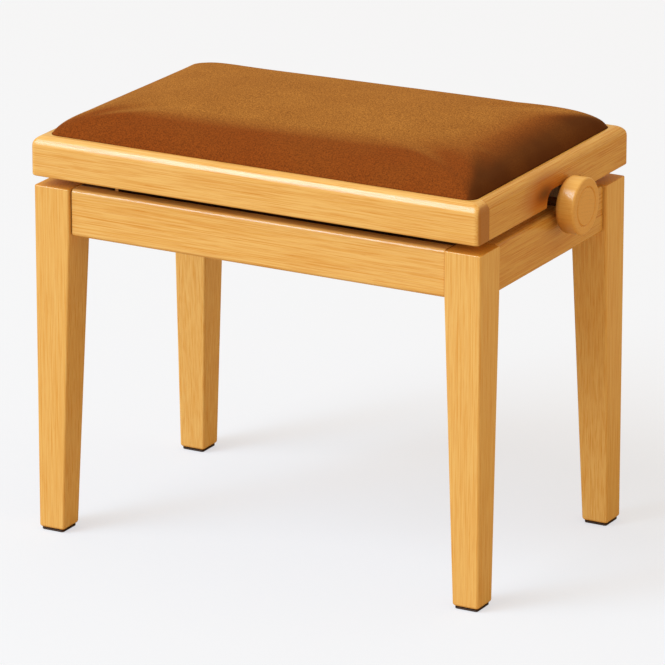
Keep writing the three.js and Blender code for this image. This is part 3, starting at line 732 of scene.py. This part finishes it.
def knob_arch(thickness):
    """The arch in the underside of the right rail, behind the knob."""
    rail_low, rail_high, _ = span("seat_rail_right")
    spindle = span("spindle")[2]
    centre_y, centre_z = notch_half_width - notch_corner_round, notch_height - notch_corner_round
    outline = [(-notch_half_width, -cutter_overrun), (notch_half_width, -cutter_overrun)]
    steps = corner_steps * 2
    for sign, first in ((1, 0), (-1, math.pi / 2)):
        for step in range(steps + 1):
            angle = first + step / steps * math.pi / 2
            y = sign * centre_y + notch_corner_round * math.cos(angle)
            outline.append((y, centre_z + notch_corner_round * math.sin(angle)))
    outline = [(spindle.y + y, rail_low.z + z) for y, z in outline]
    ends = (rail_high.x - thickness - cutter_overrun, rail_high.x + cutter_overrun)
    return loft("arch", "x", [(x, outline) for x in ends])


def make_seat_frame():
    """Four rails cut from one round-edged ring. The front one runs the full length."""
    front_low, front_high, _ = span("seat_rail_front")
    rear_low, rear_high, _ = span("seat_rail_rear")
    thickness = front_high.y - front_low.y
    inner_x = (front_low.x + thickness, front_high.x - thickness)
    inner_y = (front_high.y, rear_low.y)
    bottom, top = front_low.z - cutter_overrun, front_high.z + cutter_overrun
    opening = block((inner_x[0], inner_y[0], bottom), (inner_x[1], inner_y[1], top))
    rebate_half_x = (front_high.x - front_low.x) / 2 - rail_lip_width
    rebate_half_y = (rear_high.y - front_low.y) / 2 - rail_lip_width
    rebate_outline = rounded_outline(
        rebate_half_x, rebate_half_y, rebate_corner_round, span("seat_board")[2])
    rebate = loft("rebate", "z", [(z, rebate_outline) for z in (front_high.z - rebate_depth, top)])
    ring = carve(frame_blank(), "DIFFERENCE", opening, rebate)
    left_end, right_end = front_low.x - cutter_overrun, front_high.x + cutter_overrun
    seam_x = (inner_x[0] + joint_gap, inner_x[1] - joint_gap)
    seam_y = front_high.y + joint_gap
    front_end, rear_end = front_low.y - cutter_overrun, rear_high.y + cutter_overrun
    keep = {
        "front": block((left_end, front_end, bottom), (right_end, front_high.y, top)),
        "left": block((left_end, seam_y, bottom), (inner_x[0], rear_end, top)),
        "right": block((inner_x[1], seam_y, bottom), (right_end, rear_end, top)),
        "rear": block((seam_x[0], rear_low.y, bottom), (seam_x[1], rear_end, top)),
    }
    for side, region in keep.items():
        rail = add_object(f"beech_seat_rail_{side}", ring.data.copy())
        carve(rail, "INTERSECT", region)
        if side == "right":
            carve(rail, "DIFFERENCE", knob_arch(thickness))
        soften(rail)
        freeze(rail)
        lay_grain(rail, "x" if side in ("front", "rear") else "y")
        wood = {"left": side_beech, "right": handled_beech}.get(side, board_beech)
        finish_piece(rail, "seat", wood, f"seat_rail_{side}")
    bpy.data.objects.remove(ring)


# Knob and turned steel

def make_knob():
    """The turned knob, bored from its back for the spindle, with a ring turned into its face."""
    low, high, middle = span("knob")
    radius = (high.z - low.z) / 2
    back, face = low.x, high.x
    bore_end = back + knob_bore_depth
    profile = [(bore_end, turning_centre), (bore_end, knob_bore_radius), (back, knob_bore_radius)]
    back_round = round_insets(knob_back_round, knob_back_steps)
    face_round = round_insets(knob_face_round, knob_face_steps)
    profile += [(back + along, radius - inset) for along, inset in back_round]
    profile += [(face - along, radius - inset) for along, inset in reversed(face_round)]
    for step in range(knob_ring_steps + 1):
        share = step / knob_ring_steps
        groove = knob_ring_depth * math.sin(share * math.pi) ** 2
        profile.append((face - groove, knob_ring_radius + knob_ring_width / 2 - knob_ring_width * share))
    profile.append((face, turning_centre))
    knob = turned("turned_knob", "x", profile, (middle.y, middle.z), knob_steps)
    lay_grain(knob, "x")
    finish_piece(knob, "spindle", knob_beech, "knob")


def make_spindle():
    """The screw spindle: a thread up to the collar, and a plain end that carries the knob."""
    low, high, _ = span("spindle")
    middle = span("knob")[2]
    collar_end = span("bearing_bush")[0].x - joint_gap
    thread_end = collar_end - collar_length
    stations = []
    count = round((thread_end - low.x) / thread_step)
    for step in range(count + 1):
        along = low.x + (thread_end - low.x) * step / count
        outline = []
        for turn in range(turned_steps):
            phase = ((along - low.x) / thread_pitch + turn / turned_steps) % 1
            depth_share = min(1, max(0, thread_slope * abs(phase - 0.5) - thread_flat))
            radius = spindle_radius - thread_depth * depth_share
            angle = turn / turned_steps * 2 * math.pi
            outline.append((middle.y + radius * math.cos(angle), middle.z + radius * math.sin(angle)))
        stations.append((along, outline))
    plain = [
        (thread_end, collar_radius - turned_chamfer), (thread_end + turned_chamfer, collar_radius),
        (collar_end - turned_chamfer, collar_radius), (collar_end, collar_radius - turned_chamfer),
        (collar_end, spindle_radius), (high.x - turned_chamfer, spindle_radius),
        (high.x, spindle_radius - turned_chamfer),
    ]
    centre = (middle.y, middle.z)
    stations += [(along, ring_outline(radius, turned_steps, centre)) for along, radius in plain]
    spindle = loft("threaded_spindle", "x", stations)
    finish_piece(spindle, "spindle", dark_steel, "spindle")


def ring_profile(low, high, bore, radius, chamfer):
    """A bored ring's section, from the bore round the outside and back."""
    return [
        (low, bore), (low, radius - chamfer), (low + chamfer, radius),
        (high - chamfer, radius), (high, radius - chamfer), (high, bore),
    ]


def fit_steel(piece, node):
    """Puts a steel or brass piece on the body of its solid, with the finish of its slot, and hides the solid.
    """
    body = frame["nodes"][node].parent.name.split(":")[1]
    finish_piece(piece, body, finish_of_slot[slot_of[node]], node)


def make_cross_rod(node, arm):
    """A rod across the bench: thick between the arms, with a riveted head at each end."""
    low, high, middle = span(node)
    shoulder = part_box(arm)[0].y - joint_gap
    radius = (high.x - low.x) / 2
    pin_end = high.y - middle.y - pin_head_thickness
    half = [
        (shoulder - turned_chamfer, radius), (shoulder, radius - turned_chamfer), (shoulder, pin_radius),
        (pin_end, pin_radius), (pin_end, radius),
    ]
    head_end = pin_end + pin_head_thickness
    half += [(head_end - along, radius - inset) for along, inset in reversed(round_insets(pin_head_round))]
    profile = [(-along, r) for along, r in reversed(half)] + half
    placed = [(middle.y + along, r) for along, r in profile]
    fit_steel(turned("turned_" + node, "y", placed, (middle.z, middle.x)), node)


def make_ring(node, axis, bore, chamfer=turned_chamfer):
    """A bored ring or tube as long and wide as its solid."""
    low, high, middle = span(node)
    along, across = (0, 2) if axis == "x" else (1, 0)
    profile = ring_profile(low[along], high[along], bore, (high[across] - low[across]) / 2, chamfer)
    centre = (middle.y, middle.z) if axis == "x" else (middle.z, middle.x)
    fit_steel(turned("turned_" + node, axis, profile, centre, closed=True), node)


def make_centre_bolt(node, side):
    """A shoulder bolt with a six-sided socket in its head."""
    low, high, middle = span(node)
    tip, head = (low.y, high.y) if side > 0 else (high.y, low.y)
    radius = (high.x - low.x) / 2
    centre = (middle.z, middle.x)
    head_start = head - side * pin_head_thickness
    profile = [(tip, bolt_radius), (head_start, bolt_radius), (head_start, radius)]
    head_round = round_insets(turned_chamfer)
    profile += [(head - side * along, radius - inset) for along, inset in reversed(head_round)]
    bolt = turned("turned_" + node, "y", profile, centre)
    ends = (head - side * bolt_socket_depth, head + side * cutter_overrun)
    hexagon = ring_outline(bolt_socket_radius, 6, centre)
    carve(bolt, "DIFFERENCE", loft("socket", "y", [(y, hexagon) for y in sorted(ends)]))
    fit_steel(bolt, node)


def make_screw(node, axis, sense):
    """A wood screw with a pan head and a cross recess; its point looks along the axis."""
    low, high, middle = span(node)
    index = "xyz".index(axis)
    length = high[index] - low[index]
    dome = round_insets(screw_head_height * screw_dome_share)
    profile = [(along, screw_head_radius - inset) for along, inset in dome]
    profile += [
        (screw_head_height, screw_head_radius), (screw_head_height, screw_shank),
        (length - screw_tip_length, screw_shank), (length, screw_tip_radius),
    ]
    screw = turned("turned_" + node, "z", profile, (0, 0), screw_steps)
    half, reach, depth = screw_recess_width / 2, screw_recess_reach, screw_recess_depth
    cross = [
        block((-half, -reach, -cutter_overrun), (half, reach, depth)),
        block((-reach, -half, -cutter_overrun), (reach, half, depth)),
    ]
    carve(screw, "DIFFERENCE", *cross)
    direction = Vector((0, 0, 0))
    direction[index] = sense
    head = middle - direction * length / 2
    turn = direction.to_track_quat("Z", "Y").to_matrix().to_4x4()
    screw.data.transform(Matrix.Translation(head) @ turn)
    fit_steel(screw, node)


# Cushion

def pad_height(x, y, half_x, half_y):
    """Height of the pad above its edge, and how far inside the edge each point lies."""
    x, y = np.abs(x), np.abs(y)
    low, high = np.zeros_like(x), np.full_like(x, half_y)
    for _ in range(pad_halvings):
        inset = (low + high) / 2
        corner = np.minimum(pad_corner_round + inset * pad_corner_growth, half_y - inset)
        p, q = x - (half_x - inset) + corner, y - (half_y - inset) + corner
        beyond = np.hypot(np.maximum(p, 0), np.maximum(q, 0))
        outside = beyond + np.minimum(np.maximum(p, q), 0) - corner
        low = np.where(outside < 0, inset, low)
        high = np.where(outside < 0, high, inset)
    inset = (low + high) / 2
    lean = np.arccos(np.clip(1 - inset / pad_shoulder_width, 0, 1))
    shoulder = pad_shoulder_height * np.sin(lean) ** pad_rise
    share = np.clip((inset - pad_shoulder_width) / (half_y - pad_shoulder_width), 0, 1)
    crown = pad_crown_height * np.sin(share * math.pi / 2)
    return shoulder + crown, inset


def uneven_filling(u, v):
    """How full the pad is: a little fuller near the knob, a little settled at the rear left."""
    filling = np.ones_like(u)
    for (side, end), share in pad_corner_fill_shares.items():
        filling += share * (1 + side * u) * (1 + end * v) / 4
    return filling


def pad_mesh(low, high):
    """The pad as a grid of small cells on top, an upright edge and a flat underside.

    Also gives the numbers of the points that are held while the cover is stretched.
    """
    half_x, half_y = (high.x - low.x) / 2, (high.y - low.y) / 2
    count_x, count_y = round(2 * half_x / pad_cell), round(2 * half_y / pad_cell)
    grid_x, grid_y = np.meshgrid(
        np.linspace(-half_x, half_x, count_x + 1), np.linspace(-half_y, half_y, count_y + 1), indexing="ij")
    u = np.clip((np.abs(grid_x) - half_x) / pad_corner_round + 1, 0, 1)
    v = np.clip((np.abs(grid_y) - half_y) / pad_corner_round + 1, 0, 1)
    inner_x, inner_y = half_x - pad_corner_round, half_y - pad_corner_round
    round_x = inner_x + pad_corner_round * u * np.sqrt(1 - v * v / 2)
    round_y = inner_y + pad_corner_round * v * np.sqrt(1 - u * u / 2)
    corner = (u > 0) & (v > 0)
    plan_x = np.where(corner, np.sign(grid_x) * round_x, grid_x)
    plan_y = np.where(corner, np.sign(grid_y) * round_y, grid_y)
    height = pad_height(plan_x, plan_y, half_x, half_y)[0] * uneven_filling(plan_x / half_x, plan_y / half_y)
    middle = (low + high) / 2
    edge_z = low.z + pad_edge_height
    points = np.stack([plan_x + middle.x, plan_y + middle.y, edge_z + height], -1).reshape(-1, 3)

    def at(i, j):
        return i * (count_y + 1) + j

    top = [
        (at(i, j), at(i + 1, j), at(i + 1, j + 1), at(i, j + 1))
        for i in range(count_x) for j in range(count_y)
    ]
    rim = [at(i, 0) for i in range(count_x)] + [at(count_x, j) for j in range(count_y)]
    rim += [at(i, count_y) for i in range(count_x, 0, -1)] + [at(0, j) for j in range(count_y, 0, -1)]
    under = len(points)
    underside = [tuple(under + k for k in reversed(face)) for face in top]
    followers = rim[1:] + rim[:1]
    edge = [(under + a, under + b, b, a) for a, b in zip(rim, followers)]
    base = points.copy()
    base[:, 2] = low.z
    mesh = bpy.data.meshes.new("velvet_cushion")
    mesh.from_pydata(np.concatenate([points, base]).tolist(), [], top + edge + underside)
    return mesh, rim + list(range(under, 2 * under))


def inflate(pad, held):
    """Stretches the cover over its filling: cloth under pressure, held along its edge."""
    group = pad.vertex_groups.new(name="tacked_edge")
    group.add(held, 1.0, "REPLACE")
    cloth = pad.modifiers.new("cover", "CLOTH")
    cloth.settings.quality = cover_quality
    cloth.settings.mass = cover_mass
    cloth.settings.tension_stiffness = cover_stretch_stiffness
    cloth.settings.compression_stiffness = cover_stretch_stiffness
    cloth.settings.shear_stiffness = cover_shear_stiffness
    cloth.settings.bending_stiffness = cover_bending_stiffness
    cloth.settings.use_pressure = True
    cloth.settings.uniform_pressure_force = cover_pressure
    cloth.settings.vertex_group_mass = group.name
    cloth.settings.effector_weights.gravity = 0
    cloth.point_cache.frame_end = cover_frames
    scene = bpy.context.scene
    for step in range(1, cover_frames + 1):
        scene.frame_set(step)
    freeze(pad)
    scene.frame_set(1)


def mark_shaded_slopes(pad, middle, half_x, half_y):
    """Stores where the painted shade of the slopes begins: on the slopes, and further in at the front right.
    """
    plan = np.array([v.co for v in pad.data.vertices]) - np.array(middle)
    inset = pad_height(plan[:, 0], plan[:, 1], half_x, half_y)[1]
    rightness = np.clip(1 + plan[:, 0] / half_x, 0, 2) / 2
    frontness = np.clip(1 - plan[:, 1] / half_y, 0, 2) / 2
    turn = shade_turn_share + shade_turn_growth_share * rightness ** 2 * frontness
    lie = 1 - np.clip((inset / pad_shoulder_width - turn) / shade_blend_share, 0, 1)
    pad.data.attributes.new("slope", "FLOAT", "POINT").data.foreach_set("value", lie.astype(np.float32))


def make_cushion():
    low, high, middle = span("cushion")
    mesh, held = pad_mesh(low, high)
    pad = add_object("velvet_cushion", mesh)
    before = np.array([v.co for v in mesh.vertices])
    inflate(pad, held)
    moved = (np.array([v.co for v in pad.data.vertices]) - before) * pad_cloth_share
    length = np.linalg.norm(moved, axis=1, keepdims=True)
    settled = before + moved * np.minimum(1, pad_cap / np.maximum(length, least_length))
    pad.data.vertices.foreach_set("co", settled.astype(np.float32).ravel())
    smoother = pad.modifiers.new("finer", "SUBSURF")
    smoother.levels = 1
    smoother.render_levels = 1
    freeze(pad)
    mark_shaded_slopes(pad, middle, (high.x - low.x) / 2, (high.y - low.y) / 2)
    finish_piece(pad, "seat", seat_velvet, "cushion")


# Building

for corner, sign_x, sign_y in [
    ("front_left", -1, -1), ("front_right", 1, -1), ("rear_left", -1, 1), ("rear_right", 1, 1),
]:
    make_leg(corner, sign_x, sign_y)
    make_glide(corner)
make_apron("front", "x")
make_apron("rear", "x")
make_apron("left", "y")
make_apron("right", "y")
make_seat_frame()
make_knob()
make_spindle()
make_cushion()

make_cross_rod("fixed_pivot_rod", "outer_arm_rear")
make_cross_rod("sliding_rod", "outer_arm_rear")
make_cross_rod("seat_pivot_rod", "inner_arm_rear")
for end, side in [("front", -1), ("rear", 1)]:
    make_centre_bolt(f"centre_bolt_{end}", side)
    for group in ("seat_spacer", "traverse_spacer"):
        make_ring(f"{group}_{end}", "y", pin_radius + joint_gap)
    make_screw(f"plate_screw_{end}", "x", 1)
    for hand in ("left", "right"):
        make_screw(f"channel_screw_{end}_{hand}", "y", side)
        make_screw(f"angle_screw_{end}_{hand}", "z", 1)
make_ring("centre_tube", "y", bolt_radius + joint_gap)
make_ring("retaining_ring", "x", spindle_radius + joint_gap, ring_chamfer)

# The solids whose shape is right as it is get a finish and, but for the brass ones, softened arrises
for node, slot in slot_of.items():
    solid = frame["nodes"][node]
    if solid.hide_render:
        continue
    # Corner blocks take the dark stain that reads as shade in the gaps
    solid.data.materials[0] = shade_dark_plywood if node.startswith("corner_block") else finish_of_slot[slot]
    if slot != "brass":
        solid.modifiers.new("joined_faces", "WELD").merge_threshold = weld_reach
        flat = solid.modifiers.new("flat_faces", "DECIMATE")
        flat.decimate_type = "DISSOLVE"
        flat.angle_limit = flat_angle
        soften(solid)


# Room: floor, light and camera

shown_white = shade("#f6f6f6")
floor_reach = 40
floor_tone = (0.59, 0.45, 0.28, 1)
sky_tone = (0.69, 0.55, 0.335, 1)
floor_glow = (0.925, 0.945, 1.017, 1)
floor_paint = (0.88, 0.93, 1.0, 1)
floor_glow_share = 0.62
key_strength = 1.4
key_direction = Vector((-0.45, -0.58, 0.68))
key_angle = math.radians(45)
panel_distance = 5.5
panel_width = 0.9
panel_length = 4.2
panel_power = 82
panel_tone = (0.5, 0.85, 1.15)
panel_direction = Vector((-0.459, -0.654, 0.601))


def seen_directly(finish):
    """1 for rays from the camera and for refracted ones, 0 for light that bounces."""
    rays = [finish.node("LightPath", output=name) for name in ("Is Camera Ray", "Is Transmission Ray")]
    return finish.maths("MAXIMUM", *rays)


def make_floor():
    mesh = bpy.data.meshes.new("studio_floor")
    r = floor_reach
    mesh.from_pydata([(-r, -r, 0), (r, -r, 0), (r, r, 0), (-r, r, 0)], [], [(0, 1, 2, 3)])
    floor = add_object("studio_floor", mesh)
    floor.location.z = -joint_gap
    paint = Finish("studio_floor")
    seen = seen_directly(paint)
    lit = paint.node("BsdfDiffuse", {}, {"Color": floor_paint})
    glow = paint.node("Emission", {}, {"Color": floor_glow})
    shown = paint.node("MixShader", {}, {0: floor_glow_share, 1: lit, 2: glow})
    dull = paint.node("BsdfDiffuse", {}, {"Color": floor_tone})
    mixed = paint.node("MixShader", {}, {0: seen, 1: dull, 2: shown})
    paint.node("OutputMaterial", {}, {"Surface": mixed})
    mesh.materials.append(paint.owner)


def make_world():
    world = bpy.data.worlds.new("studio")
    bpy.context.scene.world = world
    air = Finish("studio", world)
    colour = air.blend(seen_directly(air), sky_tone, shown_white)
    light = air.node("Background", {}, {"Color": colour, "Strength": 1.0})
    air.node("OutputWorld", {}, {"Surface": light})


def add_key_light():
    """A wide, soft sun at the front left."""
    lamp = bpy.data.lights.new("key_light", "SUN")
    lamp.energy = key_strength
    lamp.angle = key_angle
    sun = bpy.data.objects.new("key_light", lamp)
    sun.rotation_mode = "QUATERNION"
    sun.rotation_quaternion = key_direction.to_track_quat("Z", "Y")
    bpy.context.scene.collection.objects.link(sun)


def add_panel():
    """A long softbox at the front left, leaning over the bench. It draws the lines along the round edges."""
    lamp = bpy.data.lights.new("panel_light", "AREA")
    lamp.shape = "RECTANGLE"
    lamp.size = panel_width
    lamp.size_y = panel_length
    lamp.energy = panel_power
    lamp.color = panel_tone
    panel = bpy.data.objects.new("panel_light", lamp)
    towards = panel_direction.normalized()
    lengthwise = towards.cross(Vector((1, 0, 0))).normalized()
    axes = Matrix((lengthwise.cross(towards), lengthwise, towards)).transposed()
    panel.location = towards * panel_distance + Vector((0, 0, camera_aim_height))
    panel.rotation_mode = "QUATERNION"
    panel.rotation_quaternion = axes.to_quaternion()
    bpy.context.scene.collection.objects.link(panel)


def make_camera():
    az, el = camera_azimuth, camera_elevation
    back = Vector((math.sin(az) * math.cos(el), -math.cos(az) * math.cos(el), math.sin(el)))
    right = Vector((math.cos(az), math.sin(az), 0))
    up = back.cross(right)
    legs_low, legs_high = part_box("leg_front_left")[0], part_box("leg_rear_right")[1]
    target = Vector(((legs_low.x + legs_high.x) / 2, (legs_low.y + legs_high.y) / 2, camera_aim_height))
    pixel = camera_distance / focal_pixels
    off_right = (photo_size / 2 - stand_middle_pixel[0]) * pixel
    off_up = (stand_middle_pixel[1] - photo_size / 2) * pixel
    aim = target + right * off_right + up * off_up
    data = bpy.data.cameras.new("camera")
    data.sensor_width = sensor_width_mm
    data.lens = focal_pixels / photo_size * sensor_width_mm
    data.clip_end = view_reach
    camera = bpy.data.objects.new("camera", data)
    camera.location = aim + back * camera_distance
    camera.rotation_mode = "QUATERNION"
    camera.rotation_quaternion = back.to_track_quat("Z", "Y")
    bpy.context.scene.collection.objects.link(camera)
    bpy.context.scene.camera = camera


make_floor()
make_world()
add_key_light()
add_panel()
make_camera()
bpy.context.scene.view_settings.view_transform = "Standard"
